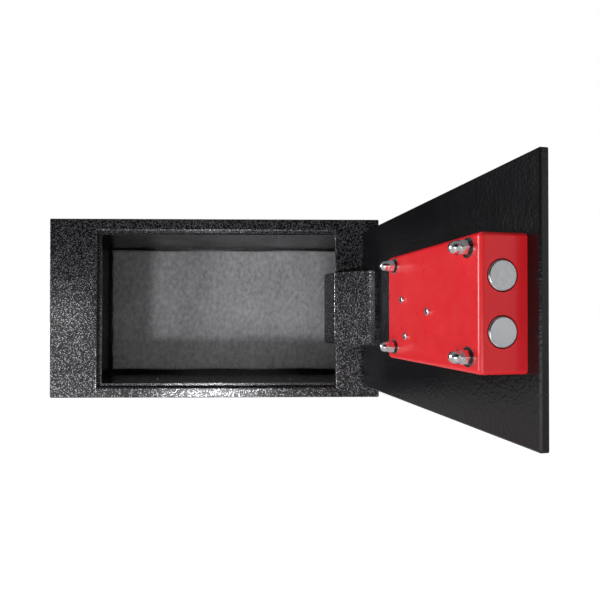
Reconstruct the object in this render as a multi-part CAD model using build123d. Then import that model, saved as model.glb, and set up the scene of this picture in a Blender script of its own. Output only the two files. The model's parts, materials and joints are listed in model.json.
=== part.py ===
from build123d import *
import math
import os

# Compact sheet-steel room safe, millimetres, +Z up.
# Origin: centre of the underside. -Y is the front, +X is the hinge side.
# Everything on the door is drawn with the door shut, then swung open to the rest position.

# ---- cabinet -------------------------------------------------------------------------------
BODY_W = 350.0
BODY_H = 190.0
BODY_D = 205.0
SHEET = 2.0
BODY_CORNER_R = 1.5
BODY_INNER_R = 0.5
FRAME_RIM_R = 0.7
FRAME_T = 2.5
FRAME_EDGE_R = 2.0
LEFT = -BODY_W / 2
RIGHT = BODY_W / 2
FRONT = -BODY_D / 2
BACK = BODY_D / 2

MARGIN_LATCH = 50.0
MARGIN_HINGE = 47.0
MARGIN_TOP = 13.0
MARGIN_BOTTOM = 11.5
OPEN_X0 = LEFT + MARGIN_LATCH
OPEN_X1 = RIGHT - MARGIN_HINGE
OPEN_Z0 = MARGIN_BOTTOM
OPEN_Z1 = BODY_H - MARGIN_TOP

STOP_DEPTH = 5.5
STOP_W = 3.0
STOP_T = 2.0
LINER_T = 3.0
LINER_GAP = 1.5
LINER_Z0 = 7.0
LINER_Z1 = 186.5
LINER_CORNER_R = 2.0

ANCHOR_SPACING = 180.0
ANCHOR_Y = 30.0
ANCHOR_R = 5.0

# ---- door ----------------------------------------------------------------------------------
DOOR_T = 5.0
DOOR_GAP_LATCH = 1.4
DOOR_GAP_HINGE = 3.7
DOOR_GAP_Z = 1.5
DOOR_X0 = OPEN_X0 + DOOR_GAP_LATCH
DOOR_X1 = OPEN_X1 - DOOR_GAP_HINGE
DOOR_Z0 = OPEN_Z0 + DOOR_GAP_Z
DOOR_Z1 = OPEN_Z1 - DOOR_GAP_Z
DOOR_CORNER_R = 1.5
DOOR_CHAMFER = 1.0
DOOR_IN = FRONT + DOOR_T
DOOR_OPEN = 98.1

# ---- hinge ---------------------------------------------------------------------------------
HINGE_X = RIGHT - 30.0
HINGE_Y = FRONT + 14.0
PIN_R = 4.0
KNUCKLE_BORE_R = 4.05
KNUCKLE_R = 7.0
NECK_T = 3.0
NECK_Z0 = 57.5
NECK_Z1 = 132.5
LUG_T = 3.0
LUG_GAP = 1.5
LUG_WELD_H = 14.0
LUG_R = 10.0
PIN_END = 5.0
GROOVE_R = 3.0
GROOVE_W = 1.0
GROOVE_LOW = 3.2
GROOVE_HIGH = 4.2
CLIP_R = 7.0
CLIP_T = 0.9
CLIP_SLACK = 0.05
CLIP_MOUTH = 2.4
WASHER_PLAY = 0.3
NECK_PATH = ((LEFT + 261.5, FRONT + 6.5), (LEFT + 273.2, FRONT + 6.5), (LEFT + 301.0, FRONT + 35.2),
             (LEFT + 327.2, FRONT + 38.8), (HINGE_X + KNUCKLE_R - NECK_T / 2, HINGE_Y))
NECK_BEND_R = 3.0
NECK_EDGE_R = 0.8

# ---- small screws and the lead through the door --------------------------------------------
M3_R = 1.5
M3_SNUG_R = 1.55
M3_CLEAR_R = 1.6
M3_LOOSE_R = 1.7
HOUSING_SCREWS = ((LEFT + 108.0, 122.0), (LEFT + 158.0, 108.0), (LEFT + 112.0, 60.0))
HOUSING_SCREW_L = 12.0
HOUSING_HEAD_R = 3.2
HOUSING_HEAD_H = 2.2
LEAD_X = LEFT + 140.0
LEAD_Z = 110.0
LEAD_R = 1.4
LEAD_HOLE_R = 5.0
LEAD_N = 17.0
LEAD_END_X = LEFT + 144.4
LEAD_END_Z = 97.0

# ---- lock cover ----------------------------------------------------------------------------
COVER_X0 = LEFT + 60.7
COVER_X1 = LEFT + 176.0
COVER_Z0 = 53.7
COVER_Z1 = 131.6
COVER_H = 28.2
COVER_T = 1.5
COVER_R = 2.6
COVER_TOP = DOOR_IN + COVER_H
STUD_R = 2.45
STUD_HOLE_R = 2.75
STUD_X = (LEFT + 70.6, LEFT + 162.8)
STUD_Z = (63.0, 123.8)
STUD_GRIP = 6.5
WASHER_R = 5.8
WASHER_T = 1.2
SPRING_R = 4.6
SPRING_T = 1.2
SPRING_CUT = 0.7
SPRING_CUT_TILT = 30.0
NUT_FLATS = 8.0
NUT_CORNER_R = 0.5
NUT_HEX_H = 4.5
NUT_DOME_R = 3.75
NUT_SHANK_H = 1.8
NUT_BEVEL_BASE = 0.9
NUT_BEVEL_TOP = 0.3
NUT_DEPTH_SPARE = 0.5
THREAD_FIT = 0.05
NUT_BASE = COVER_TOP + WASHER_T + SPRING_T
SCREW_HEAD_R = 2.6
SCREW_HEAD_H = 1.9
SCREW_BITE = 1.9

# ---- bolt works ----------------------------------------------------------------------------
BOLT_R = 8.7
BOLT_Z = (77.0, 107.8)
BOLT_N = 15.0
BOLT_OUT = 0.8
BOLT_THROW = 16.0
BOLT_HOLE_R = 9.2
BOLT_NOSE_R = 1.0
CARRIAGE_T = 2.0
CARRIAGE_N0 = 1.0
CARRIAGE_Z0 = 67.2
CARRIAGE_Z1 = 80.8
CARRIAGE_X0 = LEFT + 98.0
CARRIAGE_X1 = LEFT + 171.0
POST_X = (LEFT + 108.0, LEFT + 140.0)
POST_Z = 70.4
POST_R = 1.8
POST_HEAD_R = 2.8
GUIDE_X0 = LEFT + 77.0
GUIDE_T = 2.5
GUIDE_H = 26.5
GUIDE_Z0 = 65.5
GUIDE_Z1 = 119.5
GUIDE_FOOT_W = 8.0
GUIDE_FOOT_T = 2.0
GUIDE_FOOT_Z0 = 87.5
GUIDE_FOOT_Z1 = 97.0
GUIDE_FIT = 0.06
POST_PLAY = 0.3
POST_HEAD_T = 1.2
SLOT_PLAY = 0.2
UPRIGHT_H = 24.0
UPRIGHT_Z1 = 118.0
M5_R = 2.45
M5_BORE_R = 2.5
M5_CLEAR_R = 2.6
M5_HEAD_R = 4.2
M5_HEAD_H = 3.0
M5_DEPTH = 12.0

MODULE = 1.0
PINION_TEETH = 14
PINION_PITCH_R = MODULE * PINION_TEETH / 2
TOOTH_UP = 0.85
TOOTH_DOWN = 1.15
PRESSURE_ANGLE = 20.0
RACK_TEETH = 9
RACK_LEAD_TEETH = 3
RACK_END = 2.0
RACK_BODY = 3.6
BACKLASH = 0.16
FACE_N0 = 3.3
FACE_N1 = 8.0
MOTOR_X = LEFT + 148.4
MOTOR_Z = 84.8
MOTOR_R = 12.0
MOTOR_N0 = 10.0
MOTOR_PLATE_T = 2.0
MOTOR_PLATE_R = 10.5
MOTOR_EAR_R = 3.6
SHAFT_R = 1.5
SHAFT_COLLAR_R = 4.0
MOTOR_EAR = 13.5
EAR_TILT = 11.7
SWITCH_X = LEFT + 114.7
SWITCH_Z = 88.8
SWITCH_HALF_W = 10.0
SWITCH_HALF_H = 3.2
SWITCH_D = 8.5
SWITCH_LEVER = 4.0

# ---- key lock ------------------------------------------------------------------------------
LOCK_X = LEFT + 120.0
LOCK_Z = 94.0
LOCK_R = 9.0
PLUG_R = 6.0
PLUG_FIT = 0.05
LOCK_SETBACK = 0.5
LOCK_COLLAR = 0.5
LOCK_COLLAR_T = 2.0
LOCK_INNER = 12.0
PLUG_INNER = 13.0
LOCK_NUT_R = 12.5
LOCK_NUT_T = 4.0
KEY_SLOT_W = 1.8
KEY_SLOT_H = 8.0
KEY_SLOT_L = 20.0
CAM_T = 2.0
CAM_HUB_R = 5.5
CAM_ARM_R = 3.5
CAM_L = 14.0
FLAP_R = 11.0
FLAP_END_R = 4.5
FLAP_T = 1.6
FLAP_PLAY = 0.3
FLAP_RIM_R = 0.6
PIVOT_R = 1.6
PIVOT_FIT = 0.05
PIVOT_PLAY = 0.2
PIVOT_HEAD_R = 3.2
PIVOT_HEAD_T = 1.2
PIVOT_RIM_R = 0.5

# ---- keypad --------------------------------------------------------------------------------
PAD_X0 = LEFT + 95.0
PAD_X1 = LEFT + 255.0
PAD_Z0 = 52.0
PAD_Z1 = 137.0
PAD_DEPTH = 24.0
PAD_WALL = 2.0
PAD_R = 9.0
FASCIA_T = 2.0
FASCIA_RIM_R = 1.2
BOSS_R = 3.4
BOSS_H = 9.0
BOSS_BORE = 8.0
FASCIA_Y = FRONT - PAD_DEPTH
BOARD_Y = FRONT - 17.5
BOARD_T = 1.6
BOARD_EDGE = 6.0
BOARD_TOP = 4.0
BOARD_Z0 = 86.5
MAT_T = 1.2
MAT_EDGE = 10.0
MAT_Z0 = 87.0
MAT_Z1 = 132.5
DOME_BASE_R = 4.0
DOME_TOP_R = 3.0
DOME_H = 0.5
KEY_W = 13.5
KEY_H = 11.0
KEY_GAP = 0.3
KEY_PITCH_X = 18.5
KEY_PITCH_Z = 16.0
KEY_X = LEFT + 181.0
KEY_Z = 126.0
KEY_PROUD = 1.6
KEY_CORNER_R = 1.5
KEY_HOLE_CORNER_R = 1.8
KEY_RIM_R = 0.6
KEY_FLANGE = 0.9
KEY_FLANGE_T = 1.0
KEY_FLANGE_PLAY = 0.3
KEY_FLANGE_CORNER_R = 2.0
KEY_ROWS = (("key_1", "key_2", "key_3", "key_clear"),
            ("key_4", "key_5", "key_6", "key_0"),
            ("key_7", "key_8", "key_9", "key_lock"))
LENS_X0 = LEFT + 104.0
LENS_X1 = LEFT + 164.0
LENS_Z0 = 111.5
LENS_Z1 = 129.5
LENS_CORNER_R = 1.0
LENS_GAP = 0.1
LENS_SETBACK = 0.2
MODULE_EDGE = 2.0
MODULE_T = 3.5
CELL_R = 6.9
CELL_L = 50.0
CELL_NUB_R = 2.7
CELL_NUB_L = 1.0
CELL_GAP = 0.1
CELL_SPACING = 0.9
TRAY_X0 = LEFT + 122.0
TRAY_X1 = LEFT + 228.0
TRAY_Z0 = 54.2
TRAY_Z1 = 84.6
TRAY_WALL = 1.2
TRAY_PLAY = 0.2
TRAY_SETBACK = 2.5
HATCH_X0 = TRAY_X0 + 1.0
HATCH_X1 = TRAY_X1 - 1.0
HATCH_Z0 = TRAY_Z0 + 2.0
HATCH_Z1 = TRAY_Z1 - 1.6
HATCH_CORNER_R = 2.0
HATCH_GAP = 0.2
HATCH_EXTRA_T = 1.5
HATCH_SCREW_IN = 6.0
HATCH_SCREW_R = 1.2
HATCH_SCREW_L = 1.8
HATCH_BORE_R = 1.3
HATCH_HEAD_R = 2.4
HATCH_HEAD_H = 1.3
HATCH_SINK = 1.4
HATCH_SINK_R = 2.7
FLAP_X = LEFT + 139.0


def slab(x0, x1, y0, y1, z0, z1):
    size = Box(x1 - x0, y1 - y0, z1 - z0)
    return Pos((x0 + x1) / 2, (y0 + y1) / 2, (z0 + z1) / 2) * size


def rod_y(x, z, y0, y1, r):
    """Round bar along Y."""
    return Pos(x, (y0 + y1) / 2, z) * Rot(90, 0, 0) * Cylinder(r, y1 - y0)


def rod_x(y, z, x0, x1, r):
    """Round bar along X."""
    return Pos((x0 + x1) / 2, y, z) * Rot(0, 90, 0) * Cylinder(r, x1 - x0)


def rod_z(x, y, z0, z1, r):
    """Round bar along Z."""
    return Pos(x, y, (z0 + z1) / 2) * Cylinder(r, z1 - z0)


def plate_y(x0, x1, z0, z1, y0, y1, corner):
    """Flat plate facing Y with rounded corners."""
    outline = RectangleRounded(x1 - x0, z1 - z0, corner)
    body = extrude(outline, y1 - y0)
    return Pos((x0 + x1) / 2, y1, (z0 + z1) / 2) * Rot(90, 0, 0) * body


def swing(shape):
    """Turn a piece of the shut door to the rest position."""
    return shape.rotate(Axis((HINGE_X, HINGE_Y, 0), (0, 0, 1)), DOOR_OPEN)


def save(name, shape, on_door=False):
    placed = swing(shape) if on_door else shape
    export_step(Compound(children=placed.solids()), "parts/" + name + ".step")


# ---- cabinet pieces ------------------------------------------------------------------------
def body_shell():
    y0 = FRONT + FRAME_T
    y1 = BACK - SHEET
    outer = plate_y(LEFT, RIGHT, 0, BODY_H, y0, y1, BODY_CORNER_R)
    inner = plate_y(LEFT + SHEET, RIGHT - SHEET, SHEET, BODY_H - SHEET, y0 - 1, y1 + 1,
                    BODY_INNER_R)
    shell = outer - inner
    for side in (-1, 1):
        shell -= rod_z(side * ANCHOR_SPACING / 2, ANCHOR_Y, -1, SHEET + 1, ANCHOR_R)
    return shell


def back_plate():
    return plate_y(LEFT, RIGHT, 0, BODY_H, BACK - SHEET, BACK, BODY_CORNER_R)


def front_frame():
    """Flange round the mouth, with a short return that the door stop is welded to."""
    plate = plate_y(LEFT, RIGHT, 0, BODY_H, FRONT, FRONT + FRAME_T, BODY_CORNER_R)
    mouth = slab(OPEN_X0, OPEN_X1, FRONT - 1, FRONT + FRAME_T + 1, OPEN_Z0, OPEN_Z1)
    plate -= mouth
    rim = [e for e in plate.edges() if on_front(e) and inside_mouth(e)]
    plate = fillet(rim, FRAME_EDGE_R)
    outer_rim = [e for e in plate.edges() if on_front(e) and not inside_mouth(e)]
    plate = fillet(outer_rim, FRAME_RIM_R)
    y0 = FRONT + FRAME_T
    y1 = FRONT + STOP_DEPTH + STOP_T
    block = slab(OPEN_X0 - SHEET, OPEN_X1 + SHEET, y0, y1, OPEN_Z0 - SHEET, OPEN_Z1 + SHEET)
    hole = slab(OPEN_X0, OPEN_X1 + SHEET + 1, y0 - 1, y1 + 1, OPEN_Z0, OPEN_Z1)
    return plate + (block - hole)


def on_front(edge):
    box = edge.bounding_box()
    return box.max.Y < FRONT + 0.01


def inside_mouth(edge):
    middle = edge.center()
    wide = OPEN_X0 - 3 < middle.X < OPEN_X1 + 3
    return wide and OPEN_Z0 - 3 < middle.Z < OPEN_Z1 + 3


def door_stop_lip():
    """Narrow step that the shut door rests near: latch side, top and bottom only."""
    y0 = FRONT + STOP_DEPTH
    y1 = y0 + STOP_T
    block = slab(OPEN_X0, OPEN_X1, y0, y1, OPEN_Z0, OPEN_Z1)
    hole = slab(OPEN_X0 + STOP_W, OPEN_X1 + 1, y0 - 1, y1 + 1, OPEN_Z0 + STOP_W, OPEN_Z1 - STOP_W)
    return block - hole


def hinge_lugs():
    lugs = Part()
    for side, z in ((-1, NECK_Z0 - LUG_GAP), (1, NECK_Z1 + LUG_GAP)):
        z0 = min(z, z + side * LUG_T)
        ear = slab(HINGE_X - LUG_R, HINGE_X + LUG_R, FRONT + FRAME_T, HINGE_Y, z0, z0 + LUG_T)
        ear += rod_z(HINGE_X, HINGE_Y, z0, z0 + LUG_T, LUG_R)
        w0 = min(z, z + side * LUG_WELD_H)
        ear += slab(HINGE_X - LUG_R, HINGE_X + LUG_R, FRONT + FRAME_T, FRONT + FRAME_T + LUG_T,
                    w0, w0 + LUG_WELD_H)
        ear -= rod_z(HINGE_X, HINGE_Y, z0 - 1, z0 + LUG_T + 1, PIN_R)
        lugs += ear
    return lugs


def pin_ends():
    return (NECK_Z0 - LUG_GAP - LUG_T - PIN_END, NECK_Z1 + LUG_GAP + LUG_T + PIN_END)


def hinge_pin():
    z0, z1 = pin_ends()
    pin = rod_z(HINGE_X, HINGE_Y, z0, z1, PIN_R)
    for z in (z0 + GROOVE_LOW, z1 - GROOVE_HIGH):
        outer = rod_z(HINGE_X, HINGE_Y, z, z + GROOVE_W, PIN_R + 1)
        pin -= outer - rod_z(HINGE_X, HINGE_Y, z, z + GROOVE_W, GROOVE_R)
    return pin


def hinge_clips():
    clips = Part()
    z0, z1 = pin_ends()
    for z in (z0 + GROOVE_LOW + CLIP_SLACK, z1 - GROOVE_HIGH + CLIP_SLACK):
        ring = rod_z(HINGE_X, HINGE_Y, z, z + CLIP_T, CLIP_R)
        ring -= rod_z(HINGE_X, HINGE_Y, z - 1, z + 2, GROOVE_R + CLIP_SLACK)
        ring -= slab(HINGE_X - CLIP_MOUTH, HINGE_X + CLIP_MOUTH, HINGE_Y, HINGE_Y + CLIP_R + 2,
                     z - 1, z + 2)
        clips += ring
    return clips


def hinge_washers():
    washers = Part()
    for z in (NECK_Z0 - LUG_GAP, NECK_Z1 + WASHER_PLAY):
        ring = rod_z(HINGE_X, HINGE_Y, z, z + LUG_GAP - WASHER_PLAY, KNUCKLE_R)
        washers += ring - rod_z(HINGE_X, HINGE_Y, z - 1, z + 3, PIN_R)
    return washers


def back_liner():
    y1 = BACK - SHEET
    return plate_y(LEFT + SHEET + LINER_GAP, RIGHT - SHEET - LINER_GAP, LINER_Z0, LINER_Z1,
                   y1 - LINER_T, y1, LINER_CORNER_R)


# ---- door pieces ---------------------------------------------------------------------------
def door_plate():
    plate = slab(DOOR_X0, DOOR_X1, FRONT, DOOR_IN, DOOR_Z0, DOOR_Z1)
    uprights = plate.edges().filter_by(Axis.Y)
    plate = fillet(uprights, DOOR_CORNER_R)
    inner_edge = [e for e in plate.edges().filter_by(Axis.Z)
                  if e.center().X > DOOR_X1 - 0.1 and e.center().Y > DOOR_IN - 0.1]
    plate = chamfer(inner_edge, DOOR_CHAMFER)
    plate -= rod_y(LOCK_X, LOCK_Z, FRONT - 1, DOOR_IN + 1, LOCK_R + 0.3)
    plate -= rod_y(LEAD_X, LEAD_Z, FRONT - 1, DOOR_IN + 1, LEAD_HOLE_R)
    for x, z in HOUSING_SCREWS:
        plate -= rod_y(x, z, FRONT - 1, DOOR_IN + 1, M3_LOOSE_R)
    return plate


def hinge_bracket():
    """Swan-neck strip that reaches round the hinge-side margin to the pin."""
    path = FilletPolyline(*NECK_PATH, radius=NECK_BEND_R)
    strip = extrude(trace(path, NECK_T), NECK_Z1 - NECK_Z0)
    flat_ends = [e for f in strip.faces().filter_by(Axis.Z) for e in f.edges()]
    strip = fillet([e for e in flat_ends if e.length > NECK_T + 0.1 or e.geom_type == GeomType.CIRCLE],
                   NECK_EDGE_R)
    neck = Pos(0, 0, NECK_Z0) * strip
    neck += rod_z(HINGE_X, HINGE_Y, NECK_Z0, NECK_Z1, KNUCKLE_R)
    neck -= rod_z(HINGE_X, HINGE_Y, NECK_Z0 - 1, NECK_Z1 + 1, KNUCKLE_BORE_R)
    return neck


def lock_cover():
    outer = slab(COVER_X0, COVER_X1, DOOR_IN, COVER_TOP, COVER_Z0, COVER_Z1)
    outer = fillet(cover_edges(outer), COVER_R)
    inner = slab(COVER_X0 + COVER_T, COVER_X1 - COVER_T, DOOR_IN - 1, COVER_TOP - COVER_T,
                 COVER_Z0 + COVER_T, COVER_Z1 - COVER_T)
    inner = fillet(cover_edges(inner, COVER_TOP - COVER_T), COVER_R - COVER_T)
    cover = outer - inner
    for x in STUD_X:
        for z in STUD_Z:
            cover -= rod_y(x, z, COVER_TOP - 5, COVER_TOP + 1, STUD_HOLE_R)
    for x, z in cover_screw_spots():
        cover -= rod_y(x, z, COVER_TOP - 5, COVER_TOP + 1, M3_CLEAR_R)
    for z in BOLT_Z:
        cover -= rod_x(DOOR_IN + BOLT_N, z, COVER_X0 - 1, COVER_X0 + 5, BOLT_HOLE_R)
    return cover


def cover_edges(box, top=COVER_TOP):
    """All edges of the cover's box except those that sit on the door."""
    return [e for e in box.edges() if e.center().Y > top - 0.01 or e.length < COVER_H + 2
            and abs(e.center().Y - box.center().Y) < 1]


def cover_screw_spots():
    tilt = math.radians(EAR_TILT)
    dx = MOTOR_EAR * math.sin(tilt)
    dz = MOTOR_EAR * math.cos(tilt)
    return ((MOTOR_X + dx, MOTOR_Z + dz), (MOTOR_X - dx, MOTOR_Z - dz), (SWITCH_X, SWITCH_Z))


def cover_studs():
    studs = Part()
    for x in STUD_X:
        for z in STUD_Z:
            studs += rod_y(x, z, DOOR_IN, NUT_BASE + STUD_GRIP, STUD_R)
    return studs


def cover_washers():
    washers = Part()
    for x in STUD_X:
        for z in STUD_Z:
            ring = rod_y(x, z, COVER_TOP, COVER_TOP + WASHER_T, WASHER_R)
            washers += ring - rod_y(x, z, COVER_TOP - 1, COVER_TOP + 2, STUD_HOLE_R)
    return washers


def spring_washers():
    """Split lock washers: a ring with a slanting cut."""
    washers = Part()
    y0 = COVER_TOP + WASHER_T
    for x in STUD_X:
        for z in STUD_Z:
            ring = rod_y(x, z, y0, y0 + SPRING_T, SPRING_R)
            ring -= rod_y(x, z, y0 - 1, y0 + SPRING_T + 1, STUD_HOLE_R)
            cut = Rot(0, 0, SPRING_CUT_TILT) * Box(SPRING_CUT, 3 * SPRING_T, SPRING_R)
            washers += ring - Pos(x, y0 + SPRING_T / 2, z - SPRING_R) * cut
    return washers


def cap_nut(x, z):
    y0 = NUT_BASE
    corner_r = NUT_FLATS / math.sqrt(3)
    hexagon = extrude(RegularPolygon(corner_r, 6), NUT_HEX_H)
    hexagon = fillet(hexagon.edges().filter_by(Axis.Z), NUT_CORNER_R)
    nut = Pos(x, y0, z) * Rot(-90, 0, 0) * hexagon
    bevel = Cone(corner_r + NUT_BEVEL_BASE, corner_r - NUT_BEVEL_TOP, NUT_HEX_H)
    nut = nut & Pos(x, y0 + NUT_HEX_H / 2, z) * Rot(-90, 0, 0) * bevel
    nut += rod_y(x, z, y0 + NUT_HEX_H, y0 + NUT_HEX_H + NUT_SHANK_H, NUT_DOME_R)
    nut += Pos(x, y0 + NUT_HEX_H + NUT_SHANK_H, z) * Sphere(NUT_DOME_R)
    return nut - rod_y(x, z, y0 - 1, y0 + STUD_GRIP + NUT_DEPTH_SPARE, STUD_R + THREAD_FIT)


def cap_nuts():
    nuts = Part()
    for x in STUD_X:
        for z in STUD_Z:
            nuts += cap_nut(x, z)
    return nuts


def pan_screw(x, z, y_seat, shank_l, shank_r, head_r, head_h, out=1):
    """Cross-head screw whose head stands out along +Y (out=1) or -Y (out=-1)."""
    y_top = y_seat + out * head_h
    head = rod_y(x, z, min(y_seat, y_top), max(y_seat, y_top), head_r)
    rim = [e for e in head.edges() if abs(e.center().Y - y_top) < 0.01]
    head = fillet(rim, head_h * 0.45)
    for w, h in ((head_r * 1.1, head_r * 0.22), (head_r * 0.22, head_r * 1.1)):
        y_cut = y_top - out * head_h * 0.4
        head -= slab(x - w / 2, x + w / 2, min(y_cut, y_top + out), max(y_cut, y_top + out),
                     z - h / 2, z + h / 2)
    y_end = y_seat - out * shank_l
    return head + rod_y(x, z, min(y_seat, y_end), max(y_seat, y_end), shank_r)


def cover_screws():
    screws = Part()
    for x, z in cover_screw_spots():
        screws += pan_screw(x, z, COVER_TOP, COVER_T + SCREW_BITE, M3_R, SCREW_HEAD_R, SCREW_HEAD_H)
    return screws


def housing_screws():
    screws = Part()
    for x, z in HOUSING_SCREWS:
        screws += pan_screw(x, z, DOOR_IN, HOUSING_SCREW_L, M3_R, HOUSING_HEAD_R, HOUSING_HEAD_H)
    return screws


def bolt_guide():
    """Upright plate that carries the two locking bolts."""
    y0 = DOOR_IN
    plate = slab(GUIDE_X0, GUIDE_X0 + GUIDE_T, y0, y0 + GUIDE_H, GUIDE_Z0, GUIDE_Z1)
    plate += slab(GUIDE_X0 - GUIDE_FOOT_W, GUIDE_X0, y0, y0 + GUIDE_FOOT_T, GUIDE_FOOT_Z0, GUIDE_FOOT_Z1)
    for z in BOLT_Z:
        plate -= rod_x(y0 + BOLT_N, z, GUIDE_X0 - 1, GUIDE_X0 + GUIDE_T + 1, BOLT_R + GUIDE_FIT)
    return plate


def guide_posts():
    posts = Part()
    head_y = DOOR_IN + CARRIAGE_N0 + CARRIAGE_T + POST_PLAY
    for x in POST_X:
        post = rod_y(x, POST_Z, DOOR_IN, head_y, POST_R)
        posts += post + rod_y(x, POST_Z, head_y, head_y + POST_HEAD_T, POST_HEAD_R)
    return posts


def gear_motor():
    """Flat gear motor hung under the cover, with its shaft towards the door."""
    y0 = DOOR_IN + MOTOR_N0
    y1 = COVER_TOP - COVER_T - MOTOR_PLATE_T
    motor = rod_y(MOTOR_X, MOTOR_Z, y0, y1, MOTOR_R)
    motor += rod_y(MOTOR_X, MOTOR_Z, y0 - 1, y0, SHAFT_COLLAR_R)
    motor += rod_y(MOTOR_X, MOTOR_Z, DOOR_IN + FACE_N0, y0, SHAFT_R)
    flat_x = MOTOR_X + MOTOR_R - 1.5
    return motor - slab(flat_x, flat_x + MOTOR_R, y0 - 1, y0 + 8, MOTOR_Z - 6, MOTOR_Z + 6)


def motor_plate():
    y1 = COVER_TOP - COVER_T
    y0 = y1 - MOTOR_PLATE_T
    disc = rod_y(MOTOR_X, MOTOR_Z, y0, y1, MOTOR_PLATE_R)
    for x, z in cover_screw_spots()[:2]:
        disc += rod_y(x, z, y0, y1, MOTOR_EAR_R)
    for x, z in cover_screw_spots()[:2]:
        disc -= rod_y(x, z, y0 - 1, y1 + 1, M3_SNUG_R)
    return disc


def limit_switch():
    x, z = SWITCH_X, SWITCH_Z
    y1 = COVER_TOP - COVER_T
    x0 = x - SWITCH_HALF_W
    body = slab(x0, x + SWITCH_HALF_W, y1 - SWITCH_D, y1, z - SWITCH_HALF_H, z + SWITCH_HALF_H)
    body += slab(x0 - SWITCH_LEVER, x0, y1 - 3.0, y1 - 2.4, z - 2, z + 2)
    return body - rod_y(x, z, y1 - 6, y1 + 1, M3_SNUG_R)


def wire_harness():
    """Lead from the keypad board through the door to the motor."""
    start = (LEAD_X, BOARD_Y + BOARD_T, LEAD_Z)
    corner = (LEAD_X, DOOR_IN + LEAD_N, LEAD_Z)
    end = (LEAD_END_X, DOOR_IN + LEAD_N, LEAD_END_Z)
    route = FilletPolyline(start, corner, end, radius=6.0)
    section = Plane(origin=start, z_dir=(0, 1, 0)) * Circle(LEAD_R)
    return sweep(section, path=route)


# ---- bolt works ----------------------------------------------------------------------------
def rack_tooth(x, z_pitch, y0, y1):
    half = math.pi * MODULE / 4 - BACKLASH / 2
    slope = math.tan(math.radians(PRESSURE_ANGLE))
    top = half - TOOTH_UP * slope
    root = half + TOOTH_DOWN * slope
    points = ((x - root, z_pitch - TOOTH_DOWN), (x + root, z_pitch - TOOTH_DOWN),
              (x + top, z_pitch + TOOTH_UP), (x - top, z_pitch + TOOTH_UP))
    outline = Plane.XZ.offset(-y1) * Polygon(*points, align=None)
    return extrude(outline, y1 - y0)


def bolt_carriage():
    y0 = DOOR_IN + CARRIAGE_N0
    y1 = y0 + CARRIAGE_T
    plate = slab(CARRIAGE_X0, CARRIAGE_X1, y0, y1, CARRIAGE_Z0, CARRIAGE_Z1)
    plate += slab(CARRIAGE_X0, CARRIAGE_X0 + CARRIAGE_T, y0, y0 + UPRIGHT_H, CARRIAGE_Z0, UPRIGHT_Z1)
    slot_r = POST_R + SLOT_PLAY
    for x in POST_X:
        slot = slab(x, x + BOLT_THROW, y0 - 1, y1 + 1, POST_Z - slot_r, POST_Z + slot_r)
        slot += rod_y(x, POST_Z, y0 - 1, y1 + 1, slot_r)
        slot += rod_y(x + BOLT_THROW, POST_Z, y0 - 1, y1 + 1, slot_r)
        plate -= slot
    pitch = math.pi * MODULE
    z_pitch = MOTOR_Z - PINION_PITCH_R
    x_first = MOTOR_X - RACK_LEAD_TEETH * pitch
    x_last = x_first + (RACK_TEETH - 1) * pitch
    bar_y1 = DOOR_IN + FACE_N1
    rack = slab(x_first - RACK_END, x_last + RACK_END, y1, bar_y1,
                z_pitch - RACK_BODY, z_pitch - TOOTH_DOWN)
    for i in range(RACK_TEETH):
        rack += rack_tooth(x_first + i * pitch, z_pitch, DOOR_IN + FACE_N0, bar_y1)
    for z in BOLT_Z:
        plate -= rod_x(DOOR_IN + BOLT_N, z, CARRIAGE_X0 - 1, CARRIAGE_X0 + 5, M5_CLEAR_R)
    return plate + rack


def locking_bolt(z):
    y = DOOR_IN + BOLT_N
    bolt = rod_x(y, z, COVER_X0 - BOLT_OUT, CARRIAGE_X0, BOLT_R)
    nose = [e for e in bolt.edges() if e.center().X < COVER_X0]
    bolt = fillet(nose, BOLT_NOSE_R)
    return bolt - rod_x(y, z, CARRIAGE_X0 - M5_DEPTH, CARRIAGE_X0 + 1, M5_BORE_R)


def bolt_screws():
    screws = Part()
    for z in BOLT_Z:
        y = DOOR_IN + BOLT_N
        x = CARRIAGE_X0 + CARRIAGE_T
        screws += rod_x(y, z, x, x + M5_HEAD_H, M5_HEAD_R)
        screws += rod_x(y, z, x - M5_DEPTH, x, M5_R)
    return screws


def drive_pinion():
    y0 = DOOR_IN + FACE_N0 + 0.2
    y1 = DOOR_IN + FACE_N1
    root_r = PINION_PITCH_R - TOOTH_DOWN
    half_pitch = math.pi * MODULE / 4 - BACKLASH / 2
    wheel = rod_y(MOTOR_X, MOTOR_Z, y0, y1, root_r)
    tip_half = half_pitch * 0.48
    root_half = half_pitch * 1.35
    profile = Polygon((root_half, root_r - 0.4), (half_pitch, PINION_PITCH_R),
                      (tip_half, PINION_PITCH_R + TOOTH_UP), (-tip_half, PINION_PITCH_R + TOOTH_UP),
                      (-half_pitch, PINION_PITCH_R), (-root_half, root_r - 0.4), align=None)
    tooth = Pos(0, y1, 0) * (Plane.XZ * extrude(profile, y1 - y0))
    for i in range(PINION_TEETH):
        turn = -90 + (i + 0.5) * 360 / PINION_TEETH
        wheel += Pos(MOTOR_X, 0, MOTOR_Z) * Rot(0, 90 - turn, 0) * tooth
    return wheel - rod_y(MOTOR_X, MOTOR_Z, y0 - 1, y1 + 1, SHAFT_R + THREAD_FIT)


# ---- key lock ------------------------------------------------------------------------------
def lock_cylinder():
    y0 = FASCIA_Y + FASCIA_T + LOCK_SETBACK
    y1 = DOOR_IN + LOCK_INNER
    seat = FRONT - PAD_WALL
    body = rod_y(LOCK_X, LOCK_Z, y0, y1, LOCK_R)
    body += rod_y(LOCK_X, LOCK_Z, seat - LOCK_COLLAR_T, seat, LOCK_R + LOCK_COLLAR)
    return body - rod_y(LOCK_X, LOCK_Z, y0 - 1, y1 + 1, PLUG_R + PLUG_FIT)


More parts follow.
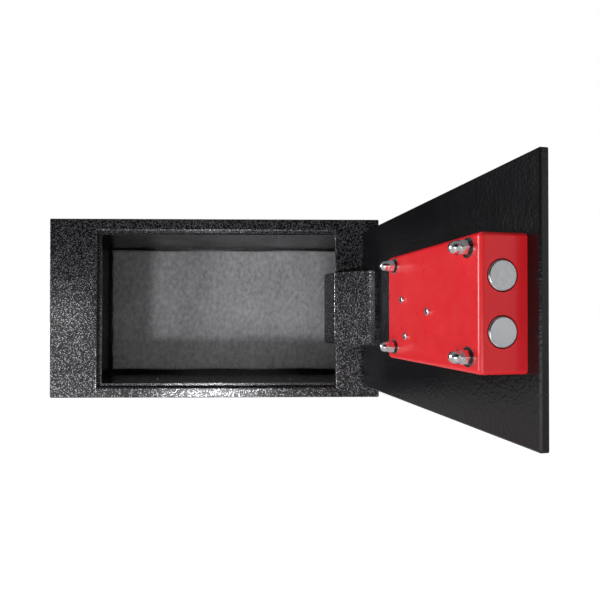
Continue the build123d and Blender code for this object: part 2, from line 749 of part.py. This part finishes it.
def lock_nut():
    hexagon = extrude(RegularPolygon(LOCK_NUT_R, 6), LOCK_NUT_T)
    nut = Pos(LOCK_X, DOOR_IN, LOCK_Z) * Rot(-90, 0, 0) * hexagon
    return nut - rod_y(LOCK_X, LOCK_Z, DOOR_IN - 1, DOOR_IN + LOCK_NUT_T + 1, LOCK_R)


def lock_plug():
    y0 = FASCIA_Y + FASCIA_T + LOCK_SETBACK
    y1 = DOOR_IN + PLUG_INNER
    plug = rod_y(LOCK_X, LOCK_Z, y0, y1, PLUG_R)
    plug -= slab(LOCK_X - KEY_SLOT_W / 2, LOCK_X + KEY_SLOT_W / 2, y0 - 1, y0 + KEY_SLOT_L,
                 LOCK_Z - KEY_SLOT_H / 2, LOCK_Z + KEY_SLOT_H / 2)
    return plug


def lock_cam():
    y0 = DOOR_IN + PLUG_INNER
    y1 = y0 + CAM_T
    arm = rod_y(LOCK_X, LOCK_Z, y0, y1, CAM_HUB_R)
    arm += slab(LOCK_X - CAM_ARM_R, LOCK_X + CAM_ARM_R, y0, y1, LOCK_Z, LOCK_Z + CAM_L)
    arm += rod_y(LOCK_X, LOCK_Z + CAM_L, y0, y1, CAM_ARM_R)
    return arm


def keyhole_cover():
    """Pear-shaped flap in front of the key lock."""
    y1 = FASCIA_Y - FLAP_PLAY
    y0 = y1 - FLAP_T
    flap = rod_y(LOCK_X, LOCK_Z, y0, y1, FLAP_R)
    flap += slab(LOCK_X, FLAP_X, y0, y1, LOCK_Z - FLAP_END_R, LOCK_Z + FLAP_END_R)
    flap += rod_y(FLAP_X, LOCK_Z, y0, y1, FLAP_END_R)
    rim = [e for e in flap.edges() if abs(e.bounding_box().max.Y - y0) < 0.01]
    flap = fillet(rim, FLAP_RIM_R)
    return flap - rod_y(FLAP_X, LOCK_Z, y0 - 1, y1 + 1, PIVOT_R + PIVOT_FIT)


def flap_pivot():
    y_head = FASCIA_Y - FLAP_PLAY - FLAP_T - PIVOT_PLAY
    pivot = rod_y(FLAP_X, LOCK_Z, y_head, FASCIA_Y + FASCIA_T, PIVOT_R)
    head = rod_y(FLAP_X, LOCK_Z, y_head - PIVOT_HEAD_T, y_head, PIVOT_HEAD_R)
    rim = [e for e in head.edges() if e.center().Y < y_head - PIVOT_HEAD_T + 0.1]
    return pivot + fillet(rim, PIVOT_RIM_R)


# ---- keypad --------------------------------------------------------------------------------
def key_centres():
    for row, names in enumerate(KEY_ROWS):
        for column, name in enumerate(names):
            yield name, KEY_X + column * KEY_PITCH_X, KEY_Z - row * KEY_PITCH_Z


def keypad_housing():
    y0 = FASCIA_Y + FASCIA_T
    outer = plate_y(PAD_X0, PAD_X1, PAD_Z0, PAD_Z1, y0, FRONT, PAD_R)
    inner = plate_y(PAD_X0 + PAD_WALL, PAD_X1 - PAD_WALL, PAD_Z0 + PAD_WALL, PAD_Z1 - PAD_WALL,
                    y0 - 1, FRONT - PAD_WALL, PAD_R - PAD_WALL)
    tray = outer - inner
    for x, z in HOUSING_SCREWS:
        tray += rod_y(x, z, FRONT - BOSS_H, FRONT - PAD_WALL, BOSS_R)
        tray -= rod_y(x, z, FRONT - BOSS_BORE, FRONT + 1, M3_SNUG_R)
    tray -= rod_y(LOCK_X, LOCK_Z, FRONT - PAD_WALL - 1, FRONT + 1, LOCK_R + 0.1)
    return tray - rod_y(LEAD_X, LEAD_Z, FRONT - PAD_WALL - 1, FRONT + 1, LEAD_HOLE_R)


def fascia():
    y0 = FASCIA_Y
    y1 = FASCIA_Y + FASCIA_T
    panel = plate_y(PAD_X0, PAD_X1, PAD_Z0, PAD_Z1, y0, y1, PAD_R)
    rim = [e for e in panel.edges() if e.bounding_box().max.Y < y0 + 0.01]
    panel = fillet(rim, FASCIA_RIM_R)
    for _, x, z in key_centres():
        w = KEY_W / 2 + KEY_GAP
        h = KEY_H / 2 + KEY_GAP
        panel -= plate_y(x - w, x + w, z - h, z + h, y0 - 1, y1 + 1, KEY_HOLE_CORNER_R)
    panel -= plate_y(LENS_X0, LENS_X1, LENS_Z0, LENS_Z1, y0 - 1, y1 + 1, LENS_CORNER_R)
    panel -= plate_y(HATCH_X0, HATCH_X1, HATCH_Z0, HATCH_Z1, y0 - 1, y1 + 1, HATCH_CORNER_R)
    panel -= rod_y(LOCK_X, LOCK_Z, y0 - 1, y1 + 1, LOCK_R - 1)
    return panel - rod_y(FLAP_X, LOCK_Z, y0 - 1, y1 + 1, PIVOT_R)


def display_lens():
    gap = LENS_GAP
    return plate_y(LENS_X0 + gap, LENS_X1 - gap, LENS_Z0 + gap, LENS_Z1 - gap,
                   FASCIA_Y + LENS_SETBACK, FASCIA_Y + FASCIA_T, LENS_CORNER_R - gap)


def display_module():
    edge = MODULE_EDGE
    return slab(LENS_X0 + edge, LENS_X1 - edge, BOARD_Y - MODULE_T, BOARD_Y,
                LENS_Z0 + edge, LENS_Z1 - edge)


def keypad_board():
    board = slab(PAD_X0 + BOARD_EDGE, PAD_X1 - BOARD_EDGE, BOARD_Y, BOARD_Y + BOARD_T,
                 BOARD_Z0, PAD_Z1 - BOARD_TOP)
    return board - rod_y(LOCK_X, LOCK_Z, BOARD_Y - 1, BOARD_Y + 3, LOCK_R + 0.6)


def key_mat():
    y1 = BOARD_Y
    last_x = KEY_X + 3 * KEY_PITCH_X
    mat = slab(KEY_X - MAT_EDGE, last_x + MAT_EDGE, y1 - MAT_T, y1, MAT_Z0, MAT_Z1)
    for _, x, z in key_centres():
        dome = Rot(90, 0, 0) * Cone(DOME_BASE_R, DOME_TOP_R, DOME_H)
        mat += Pos(x, y1 - MAT_T - DOME_H / 2, z) * dome
    return mat


def key_cap(x, z):
    y0 = FASCIA_Y - KEY_PROUD
    y_flange = FASCIA_Y + FASCIA_T + KEY_FLANGE_PLAY
    w = KEY_W / 2
    h = KEY_H / 2
    cap = plate_y(x - w, x + w, z - h, z + h, y0, y_flange, KEY_CORNER_R)
    rim = [e for e in cap.edges() if e.bounding_box().max.Y < y0 + 0.01]
    cap = fillet(rim, KEY_RIM_R)
    w += KEY_FLANGE
    h += KEY_FLANGE
    return cap + plate_y(x - w, x + w, z - h, z + h, y_flange, y_flange + KEY_FLANGE_T,
                         KEY_FLANGE_CORNER_R)


def battery_tray():
    wall = TRAY_WALL
    y0 = FASCIA_Y + FASCIA_T + TRAY_SETBACK
    y1 = FRONT - PAD_WALL - TRAY_PLAY
    tray = slab(TRAY_X0, TRAY_X1, y0, y1, TRAY_Z0, TRAY_Z1)
    return tray - slab(TRAY_X0 + wall, TRAY_X1 - wall, y0 - 1, y1 - wall, TRAY_Z0 + wall, TRAY_Z1 - wall)


def battery_cells():
    cells = Part()
    reach = TRAY_WALL + CELL_R + CELL_GAP
    y = FRONT - PAD_WALL - TRAY_PLAY - reach
    middle = (TRAY_X0 + TRAY_X1) / 2
    for z in (TRAY_Z0 + reach, TRAY_Z1 - reach):
        for side in (-1, 1):
            x = middle + side * (CELL_L / 2 + CELL_SPACING)
            nub_x = x + CELL_L / 2 - CELL_NUB_L
            cells += rod_x(y, z, x - CELL_L / 2, nub_x, CELL_R)
            cells += rod_x(y, z, nub_x, nub_x + CELL_NUB_L, CELL_NUB_R)
    return cells


def battery_cover():
    gap = HATCH_GAP
    panel = plate_y(HATCH_X0 + gap, HATCH_X1 - gap, HATCH_Z0 + gap, HATCH_Z1 - gap,
                    FASCIA_Y, FASCIA_Y + FASCIA_T + HATCH_EXTRA_T, HATCH_CORNER_R - gap)
    return panel - battery_cover_holes()


def battery_cover_spots():
    z = (TRAY_Z0 + TRAY_Z1) / 2
    return ((TRAY_X0 + HATCH_SCREW_IN, z), (TRAY_X1 - HATCH_SCREW_IN, z))


def battery_cover_holes():
    holes = Part()
    for x, z in battery_cover_spots():
        holes += rod_y(x, z, FASCIA_Y - 1, FASCIA_Y + HATCH_SINK, HATCH_SINK_R)
        holes += rod_y(x, z, FASCIA_Y, FASCIA_Y + 6, HATCH_BORE_R)
    return holes


def battery_cover_screws():
    screws = Part()
    for x, z in battery_cover_spots():
        screws += pan_screw(x, z, FASCIA_Y + HATCH_SINK, HATCH_SCREW_L, HATCH_SCREW_R,
                            HATCH_HEAD_R, HATCH_HEAD_H, out=-1)
    return screws


os.makedirs("parts", exist_ok=True)
for piece in (body_shell, back_plate, front_frame, door_stop_lip, hinge_lugs, hinge_pin,
              hinge_clips, hinge_washers, back_liner):
    save(piece.__name__, piece())
for piece in (door_plate, hinge_bracket, lock_cover, cover_studs, cover_washers, spring_washers,
              cap_nuts, cover_screws, housing_screws, bolt_guide, guide_posts, gear_motor, motor_plate,
              limit_switch, wire_harness, bolt_carriage, bolt_screws, drive_pinion,
              lock_cylinder, lock_nut, lock_plug, lock_cam, keyhole_cover, flap_pivot,
              keypad_housing, fascia, display_lens, display_module, keypad_board, key_mat,
              battery_tray, battery_cells, battery_cover, battery_cover_screws):
    save(piece.__name__, piece(), on_door=True)
save("lower_bolt", locking_bolt(BOLT_Z[0]), on_door=True)
save("upper_bolt", locking_bolt(BOLT_Z[1]), on_door=True)
for name, key_x, key_z in key_centres():
    save(name, key_cap(key_x, key_z), on_door=True)
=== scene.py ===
import json
import math
import bmesh
import bpy
from mathutils import Matrix, Vector


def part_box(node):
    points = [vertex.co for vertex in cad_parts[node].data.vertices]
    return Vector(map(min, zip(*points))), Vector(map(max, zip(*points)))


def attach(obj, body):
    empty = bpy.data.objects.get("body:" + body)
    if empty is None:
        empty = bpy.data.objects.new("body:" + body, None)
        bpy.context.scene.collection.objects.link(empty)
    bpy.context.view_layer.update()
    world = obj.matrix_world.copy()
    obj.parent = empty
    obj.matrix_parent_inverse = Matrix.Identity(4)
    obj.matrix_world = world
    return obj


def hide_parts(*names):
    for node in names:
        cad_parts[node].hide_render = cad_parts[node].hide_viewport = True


# Compact room safe: looks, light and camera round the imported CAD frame. Metres, +Z up, -Y is the front.
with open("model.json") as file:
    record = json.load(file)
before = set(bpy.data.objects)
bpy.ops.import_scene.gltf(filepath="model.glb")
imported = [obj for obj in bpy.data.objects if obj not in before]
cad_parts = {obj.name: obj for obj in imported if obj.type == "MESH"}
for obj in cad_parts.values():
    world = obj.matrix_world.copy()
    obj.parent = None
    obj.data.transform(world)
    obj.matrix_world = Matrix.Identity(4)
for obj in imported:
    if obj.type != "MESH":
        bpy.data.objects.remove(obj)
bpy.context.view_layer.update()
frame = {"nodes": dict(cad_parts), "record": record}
NODES = frame["nodes"]
MM = 0.001
DOOR_OPEN = math.radians(98.1)

BLACK = (0.005, 0.005, 0.006)
FACET = (0.62, 0.62, 0.66)
DULL_FACET = (0.44, 0.44, 0.47)
WHITE = (1.0, 1.0, 1.0)
LEGEND_SIZE = 6.5 * MM
LEGEND_RAISE = 0.06 * MM

FELT_COLUMNS = 96
FELT_ROWS = 52
FELT_EDGE_DROP = 1.2 * MM
FELT_WAVE = 0.3 * MM
FELT_RAGGED = 0.6 * MM
FELT_SET_BACK = 0.6 * MM
FELT_THINNER = 2.4 * MM
DROP_REACH = 0.7    # how far in from the edge, in grid cells
RAGGED_REACH = 0.6

FLOOR_HALF = 6.0
MOUTH_AIM = (0.0, 0.10, 0.10)
DOOR_AIM = (0.16, -0.26, 0.09)

# The camera was solved beforehand, from the perspective of the photograph. Metres, radians, millimetres.
EYE = (0.0409, -0.5922, 0.0847)
EYE_YAW = 0.0174
EYE_PITCH = 0.0054
SENSOR_WIDTH = 36
FOCAL_LENGTH = 27.558
SHIFT_X = 0.0639
SHIFT_Y = 0.0257


# ---- material helpers ----------------------------------------------------------------------
def new_material(name):
    mat = bpy.data.materials.new(name)
    mat.use_nodes = True
    shader = mat.node_tree.nodes["Principled BSDF"]
    return mat, mat.node_tree, shader


def coords(tree):
    node = tree.nodes.get("coords")
    if node is None:
        node = tree.nodes.new("ShaderNodeTexCoord")
        node.name = "coords"
    return node.outputs["Object"]


def noise(tree, size, detail=3.0, rough=0.55, stretch=(1, 1, 1)):
    """Noise whose features are about size metres wide."""
    scale = tree.nodes.new("ShaderNodeMapping")
    scale.inputs["Scale"].default_value = stretch
    tree.links.new(coords(tree), scale.inputs["Vector"])
    node = tree.nodes.new("ShaderNodeTexNoise")
    node.inputs["Scale"].default_value = 0.5 / size
    node.inputs["Detail"].default_value = detail
    node.inputs["Roughness"].default_value = rough
    tree.links.new(scale.outputs["Vector"], node.inputs["Vector"])
    return node.outputs["Fac"]


def cells(tree, size):
    """Distance to the middle of the nearest cell, for cells about size metres wide."""
    node = tree.nodes.new("ShaderNodeTexVoronoi")
    node.inputs["Scale"].default_value = 1.0 / size
    tree.links.new(coords(tree), node.inputs["Vector"])
    return node.outputs["Distance"]


def ramp(tree, value, low, high, out_low=0.0, out_high=1.0):
    """Map low..high to out_low..out_high, held level past both ends."""
    node = tree.nodes.new("ShaderNodeMapRange")
    node.inputs["From Min"].default_value = low
    node.inputs["From Max"].default_value = high
    node.inputs["To Min"].default_value = out_low
    node.inputs["To Max"].default_value = out_high
    tree.links.new(value, node.inputs["Value"])
    return node.outputs["Result"]


def combine(tree, a, b, how="ADD", weight=1.0):
    """a + weight * b, or a * b."""
    node = tree.nodes.new("ShaderNodeMath")
    if how == "ADD":
        node.operation = "MULTIPLY_ADD"
        tree.links.new(b, node.inputs[0])
        node.inputs[1].default_value = weight
        tree.links.new(a, node.inputs[2])
    else:
        node.operation = how
        tree.links.new(a, node.inputs[0])
        tree.links.new(b, node.inputs[1])
    return node.outputs[0]


def mix_colour(tree, factor, first, second):
    node = tree.nodes.new("ShaderNodeMix")
    node.data_type = "RGBA"
    tree.links.new(factor, node.inputs["Factor"])
    node.inputs["A"].default_value = (*first, 1.0)
    node.inputs["B"].default_value = (*second, 1.0)
    return node.outputs["Result"]


def relief(tree, shader, height, depth):
    node = tree.nodes.new("ShaderNodeBump")
    node.inputs["Distance"].default_value = depth
    node.inputs["Strength"].default_value = 1.0
    tree.links.new(height, node.inputs["Height"])
    tree.links.new(node.outputs["Normal"], shader.inputs["Normal"])


# ---- materials -----------------------------------------------------------------------------
def powder_coat(name, grain, depth, rough, fleck, bare, spread=0.06, facet=FACET):
    """Textured black coat: a wrinkled skin whose bright little facets catch the light one by one.

    The higher bare is, the fewer facets there are.
    """
    mat, tree, shader = new_material(name)
    wrinkle = noise(tree, grain, 1.0, 0.45)
    beads = ramp(tree, cells(tree, grain * 1.3), 0.0, 0.7, 1.0, 0.0)
    height = combine(tree, wrinkle, beads, weight=0.30)
    facets = ramp(tree, noise(tree, fleck, 1.0, 0.5), bare, bare + spread)
    tree.links.new(mix_colour(tree, facets, BLACK, facet), shader.inputs["Base Color"])
    tree.links.new(facets, shader.inputs["Metallic"])
    patch = ramp(tree, noise(tree, 22 * MM, 2.0), 0.3, 0.7, rough - 0.03, rough + 0.05)
    tree.links.new(patch, shader.inputs["Roughness"])
    relief(tree, shader, height, depth)
    return mat


def red_paint():
    mat, tree, shader = new_material("red_satin_paint")
    wide = noise(tree, 30 * MM, 2.0)
    tint = ramp(tree, wide, 0.3, 0.7)
    tree.links.new(mix_colour(tree, tint, (0.69, 0.012, 0.018), (0.76, 0.018, 0.025)),
                   shader.inputs["Base Color"])
    peel = noise(tree, 1.6 * MM, 2.0, 0.5)
    rough = ramp(tree, noise(tree, 7 * MM, 3.0), 0.3, 0.7, 0.26, 0.36)
    tree.links.new(rough, shader.inputs["Roughness"])
    shader.inputs["Coat Weight"].default_value = 0.25
    shader.inputs["Coat Roughness"].default_value = 0.16
    relief(tree, shader, peel, 0.006 * MM)
    return mat


def metal(name, colour, rough_low, rough_high, grain, depth):
    mat, tree, shader = new_material(name)
    shader.inputs["Metallic"].default_value = 1.0
    fine = noise(tree, grain, 4.0, 0.6)
    darker = tuple(0.86 * c for c in colour)
    tree.links.new(mix_colour(tree, ramp(tree, fine, 0.3, 0.7), darker, colour),
                   shader.inputs["Base Color"])
    tree.links.new(ramp(tree, fine, 0.3, 0.7, rough_low, rough_high), shader.inputs["Roughness"])
    relief(tree, shader, fine, depth)
    return mat


def plastic(name, colour, rough, grain, depth, coat=0.0):
    mat, tree, shader = new_material(name)
    fine = noise(tree, grain, 3.0)
    lighter = tuple(min(1.0, 1.18 * c + 0.004) for c in colour)
    tree.links.new(mix_colour(tree, ramp(tree, fine, 0.35, 0.7), colour, lighter),
                   shader.inputs["Base Color"])
    tree.links.new(ramp(tree, noise(tree, 6 * MM), 0.3, 0.7, rough - 0.03, rough + 0.05),
                   shader.inputs["Roughness"])
    shader.inputs["Coat Weight"].default_value = coat
    relief(tree, shader, fine, depth)
    return mat


def felt():
    """Pressed grey felt: mottled colour, matted fibres."""
    mat, tree, shader = new_material("grey_felt")
    mottle = noise(tree, 2.6 * MM, 3.0, 0.6, (1, 1, 0.7))
    cloud = noise(tree, 14 * MM, 2.0, 0.5, (1, 1, 0.6))
    fibre = noise(tree, 0.7 * MM, 3.0, 0.7, (1, 1, 0.35))
    both = combine(tree, ramp(tree, mottle, 0.3, 0.7), ramp(tree, fibre, 0.3, 0.7), weight=0.45)
    both = combine(tree, both, ramp(tree, cloud, 0.3, 0.7), weight=0.35)
    tint = ramp(tree, both, 0.3, 1.5)
    tree.links.new(mix_colour(tree, tint, (0.28, 0.28, 0.29), (0.52, 0.52, 0.54)),
                   shader.inputs["Base Color"])
    shader.inputs["Roughness"].default_value = 0.95
    shader.inputs["Sheen Weight"].default_value = 0.25
    shader.inputs["Sheen Roughness"].default_value = 0.5
    relief(tree, shader, fibre, 0.35 * MM)
    return mat


def make_materials():
    return {
        "frame_coat": powder_coat("frame_powder_coat", grain=0.9 * MM, depth=0.026 * MM, rough=0.19,
                                  fleck=0.50 * MM, bare=0.54, spread=0.14, facet=DULL_FACET),
        "shell_coat": powder_coat("shell_powder_coat", grain=0.8 * MM, depth=0.07 * MM, rough=0.27,
                                  fleck=0.50 * MM, bare=0.80),
        "door_coat": powder_coat("door_powder_coat", grain=1.3 * MM, depth=0.16 * MM, rough=0.21,
                                 fleck=0.50 * MM, bare=0.80),
        "neck_coat": powder_coat("hinge_powder_coat", grain=1.0 * MM, depth=0.07 * MM, rough=0.19,
                                 fleck=0.50 * MM, bare=0.57),
        "black_steel": powder_coat("black_oxide_steel", grain=0.8 * MM, depth=0.02 * MM, rough=0.30,
                                   fleck=0.3 * MM, bare=0.80),
        "red": red_paint(),
        "chrome": metal("bright_chrome", (0.95, 0.95, 0.96), 0.13, 0.20, 2.0 * MM, 0.004 * MM),
        "bolt": metal("satin_chrome", (0.80, 0.81, 0.83), 0.16, 0.24, 1.2 * MM, 0.01 * MM),
        "zinc": metal("zinc_plate", (0.62, 0.64, 0.67), 0.28, 0.42, 0.8 * MM, 0.02 * MM),
        "brass": metal("machined_brass", (0.78, 0.58, 0.26), 0.22, 0.34, 0.6 * MM, 0.015 * MM),
        "felt": felt(),
        "housing": plastic("housing_plastic", (0.022, 0.023, 0.026), 0.50, 0.45 * MM, 0.06 * MM),
        "fascia": plastic("fascia_plastic", (0.030, 0.031, 0.035), 0.38, 0.35 * MM, 0.02 * MM),
        "key": plastic("key_plastic", (0.52, 0.53, 0.55), 0.42, 0.5 * MM, 0.015 * MM),
        "lens": plastic("smoked_lens", (0.010, 0.004, 0.005), 0.07, 4 * MM, 0.002 * MM, 1.0),
        "board": plastic("board_green", (0.015, 0.12, 0.05), 0.35, 1.0 * MM, 0.03 * MM, 0.3),
        "rubber": plastic("soft_rubber", (0.030, 0.030, 0.031), 0.72, 0.6 * MM, 0.05 * MM),
        "cell": plastic("cell_wrap", (0.03, 0.06, 0.16), 0.25, 3.0 * MM, 0.01 * MM, 0.5),
        "nylon": plastic("white_nylon", (0.72, 0.72, 0.69), 0.50, 1.0 * MM, 0.02 * MM),
        "legend": plastic("legend_ink", (0.012, 0.012, 0.014), 0.50, 0.5 * MM, 0.005 * MM),
    }


MAT = make_materials()
SLOT_LOOK = {
    "cabinet_coat": "shell_coat", "door_coat": "door_coat", "hinge_coat": "neck_coat",
    "black_steel": "black_steel", "cover_red": "red", "chrome": "chrome", "zinc_steel": "zinc",
    "felt": "felt", "keypad_plastic": "housing", "fascia_plastic": "fascia", "key_plastic": "key",
    "lens": "lens", "board": "board", "rubber": "rubber", "cell_wrap": "cell",
    "brass": "brass", "nylon": "nylon",
}
NODE_LOOK = {
    "front_frame": "frame_coat", "door_stop_lip": "frame_coat",
    "upper_bolt": "bolt", "lower_bolt": "bolt",
}


def paint(obj, look):
    obj.data.materials.clear()
    obj.data.materials.append(MAT[look])


def paint_cad():
    for row in frame["record"]["subparts"]:
        obj = NODES[row["node"]]
        look = NODE_LOOK.get(row["node"], SLOT_LOOK[row["material_slot"]])
        for material_slot in obj.material_slots:
            material_slot.link = "OBJECT"
            material_slot.material = MAT[look]


# ---- felt panel ----------------------------------------------------------------------------
def felt_point(u, v, low, high):
    """Point of the felt's face at u across and v up, both 0 to 1.

    The edges drop back and wander a little. Sines shape them, so every run gives the same sheet.
    """
    x = low.x + u * (high.x - low.x)
    z = low.z + v * (high.z - low.z)
    edge = min(u * FELT_COLUMNS, (1 - u) * FELT_COLUMNS, v * FELT_ROWS, (1 - v) * FELT_ROWS)
    drop = FELT_EDGE_DROP * math.exp(-edge / DROP_REACH)
    wave = FELT_WAVE * math.sin(41 * u + 3 * v) * math.sin(23 * v + 1)
    inset = FELT_RAGGED * (1 + math.sin(17 * u + 29 * v)) * math.exp(-edge / RAGGED_REACH)
    x += inset * (1 if u < 0.5 else -1) * math.exp(-min(u, 1 - u) * 90)
    z += inset * (1 if v < 0.5 else -1) * math.exp(-min(v, 1 - v) * 60)
    return x, low.y + FELT_SET_BACK + drop + wave, z


def felt_mesh(low, high):
    mesh = bmesh.new()
    grid = []
    for j in range(FELT_ROWS + 1):
        line = []
        for i in range(FELT_COLUMNS + 1):
            line.append(mesh.verts.new(felt_point(i / FELT_COLUMNS, j / FELT_ROWS, low, high)))
        grid.append(line)
    for j in range(FELT_ROWS):
        for i in range(FELT_COLUMNS):
            mesh.faces.new((grid[j][i], grid[j][i + 1], grid[j + 1][i + 1], grid[j + 1][i]))
    data = bpy.data.meshes.new("felt_back_panel")
    mesh.to_mesh(data)
    mesh.free()
    for face in data.polygons:
        face.use_smooth = True
    return data


def felt_panel():
    """Thin pressed-felt sheet glued to the back wall, with soft edges that aren't quite straight."""
    low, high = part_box("back_liner")
    panel = bpy.data.objects.new("felt_back_panel", felt_mesh(low, high))
    bpy.context.scene.collection.objects.link(panel)
    thick = panel.modifiers.new("thickness", "SOLIDIFY")
    thick.thickness = high.y - low.y - FELT_THINNER
    thick.offset = -1.0
    paint(panel, "felt")
    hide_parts("back_liner")
    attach(panel, "cabinet")


# ---- key legends ---------------------------------------------------------------------------
def legend(node, text):
    """Raised generic character on a key's face."""
    data = bpy.data.curves.new("legend_" + node, "FONT")
    data.body = text
    data.size = LEGEND_SIZE
    data.extrude = LEGEND_RAISE
    data.align_x = "CENTER"
    data.align_y = "CENTER"
    data.resolution_u = 6
    data.materials.append(MAT["legend"])
    mark = bpy.data.objects.new("legend_" + node, data)
    bpy.context.scene.collection.objects.link(mark)
    low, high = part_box(node)
    centre = (low + high) / 2
    outward = Vector((math.sin(DOOR_OPEN), -math.cos(DOOR_OPEN), 0))
    reach = max(outward.dot(vertex.co) for vertex in NODES[node].data.vertices)
    face = centre + outward * (reach - outward.dot(centre))
    turn = Matrix.Rotation(DOOR_OPEN, 4, "Z") @ Matrix.Rotation(math.pi / 2, 4, "X")
    mark.matrix_world = Matrix.Translation(face) @ turn
    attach(mark, node)


def legends():
    for digit in range(10):
        legend(f"key_{digit}", str(digit))
    legend("key_clear", "C")
    legend("key_lock", "#")


# ---- stage, light and camera ---------------------------------------------------------------
def floor():
    data = bpy.data.meshes.new("floor")
    corners = [(FLOOR_HALF * a, FLOOR_HALF * b, 0) for a, b in ((-1, -1), (1, -1), (1, 1), (-1, 1))]
    data.from_pydata(corners, [], [(0, 1, 2, 3)])
    plane = bpy.data.objects.new("floor", data)
    bpy.context.scene.collection.objects.link(plane)
    plane.data.materials.append(floor_paper())
    plane.visible_shadow = False    # the lights below the floor shine through it


def floor_paper():
    """White sweep: it glows so that it runs into the white backdrop, more to the camera than to gloss."""
    mat, tree, shader = new_material("pale_floor")
    shader.inputs["Base Color"].default_value = (0.80, 0.80, 0.80, 1)
    shader.inputs["Roughness"].default_value = 0.9
    shader.inputs["Specular IOR Level"].default_value = 0.0
    reach = tree.nodes.new("ShaderNodeVectorMath")
    reach.operation = "LENGTH"
    tree.links.new(coords(tree), reach.inputs[0])
    glow_level = ramp(tree, reach.outputs["Value"], 0.5, 2.0, 0.93, 1.0)
    rays = tree.nodes.new("ShaderNodeLightPath")
    seen = combine(tree, rays.outputs["Is Camera Ray"], rays.outputs["Is Glossy Ray"], weight=0.25)
    glow = combine(tree, glow_level, seen, "MULTIPLY")
    tree.links.new(glow, shader.inputs["Emission Strength"])
    shader.inputs["Emission Color"].default_value = (*WHITE, 1)
    return mat


def area_light(name, place, target, size, power):
    data = bpy.data.lights.new(name, "AREA")
    data.shape = "RECTANGLE"
    data.size = size[0]
    data.size_y = size[1]
    data.energy = power
    lamp = bpy.data.objects.new(name, data)
    bpy.context.scene.collection.objects.link(lamp)
    lamp.location = place
    lamp.rotation_euler = (Vector(target) - Vector(place)).to_track_quat("-Z", "Y").to_euler()


def lights():
    """Area lights, in watts: powers first estimated by a fit to the photograph, then set one by one.

    The first four are centred below the floor's level and stand for light thrown up by a bright table.
    The floor casts no shadow, so it lets them through. inside_fill is a weak lamp in the cabinet's mouth.
    """
    area_light("key", (-0.31, -3.10, -0.60), MOUTH_AIM, (0.25, 0.20), 19)
    area_light("low_left", (-1.35, -2.90, -0.20), MOUTH_AIM, (0.35, 0.80), 3.4)
    area_light("table_left", (-1.60, -2.60, -0.70), MOUTH_AIM, (0.50, 0.40), 15)
    area_light("under", (0.10, -1.30, -1.60), (0.1, 0.0, 0.1), (0.80, 0.60), 17)
    area_light("inside_fill", (0.0, -0.095, 0.094), (0.0, 0.10, 0.094), (0.20, 0.12), 0.09)
    area_light("left_box", (-1.90, 0.15, 0.25), DOOR_AIM, (0.90, 1.00), 33)
    area_light("right_card", (1.60, -1.75, 0.10), (0.17, -0.35, 0.09), (1.30, 1.60), 3)
    studio_world()


def studio_world():
    """White to the camera; to the object, grey at the sides, above and below, near black ahead."""
    world = bpy.data.worlds.new("studio")
    bpy.context.scene.world = world
    world.use_nodes = True
    tree = world.node_tree
    tree.nodes.clear()
    out = tree.nodes.new("ShaderNodeOutputWorld")
    pick = tree.nodes.new("ShaderNodeMixShader")
    rays = tree.nodes.new("ShaderNodeLightPath")
    fill = tree.nodes.new("ShaderNodeBackground")
    fill.inputs["Color"].default_value = (0.80, 0.82, 0.85, 1)
    split = tree.nodes.new("ShaderNodeSeparateXYZ")
    tree.links.new(tree.nodes.new("ShaderNodeTexCoord").outputs["Generated"], split.inputs[0])
    ahead = tree.nodes.new("ShaderNodeMath")
    ahead.operation = "ABSOLUTE"
    tree.links.new(split.outputs["Y"], ahead.inputs[0])
    tree.links.new(ramp(tree, ahead.outputs[0], 0.35, 0.75, 0.24, 0.01), fill.inputs["Strength"])
    white = tree.nodes.new("ShaderNodeBackground")
    white.inputs["Strength"].default_value = 1.0
    white.inputs["Color"].default_value = (*WHITE, 1)
    tree.links.new(rays.outputs["Is Camera Ray"], pick.inputs["Fac"])
    tree.links.new(fill.outputs[0], pick.inputs[1])
    tree.links.new(white.outputs[0], pick.inputs[2])
    tree.links.new(pick.outputs[0], out.inputs["Surface"])


def camera():
    data = bpy.data.cameras.new("camera")
    data.sensor_width = SENSOR_WIDTH
    data.lens = FOCAL_LENGTH
    data.shift_x = SHIFT_X
    data.shift_y = SHIFT_Y
    data.clip_start = 0.01
    eye = bpy.data.objects.new("camera", data)
    bpy.context.scene.collection.objects.link(eye)
    eye.location = EYE
    eye.rotation_euler = (math.pi / 2 + EYE_PITCH, 0, -EYE_YAW)
    bpy.context.scene.camera = eye


paint_cad()
felt_panel()
legends()
floor()
lights()
camera()
bpy.context.scene.view_settings.view_transform = "Standard"
bpy.context.scene.view_settings.look = "None"
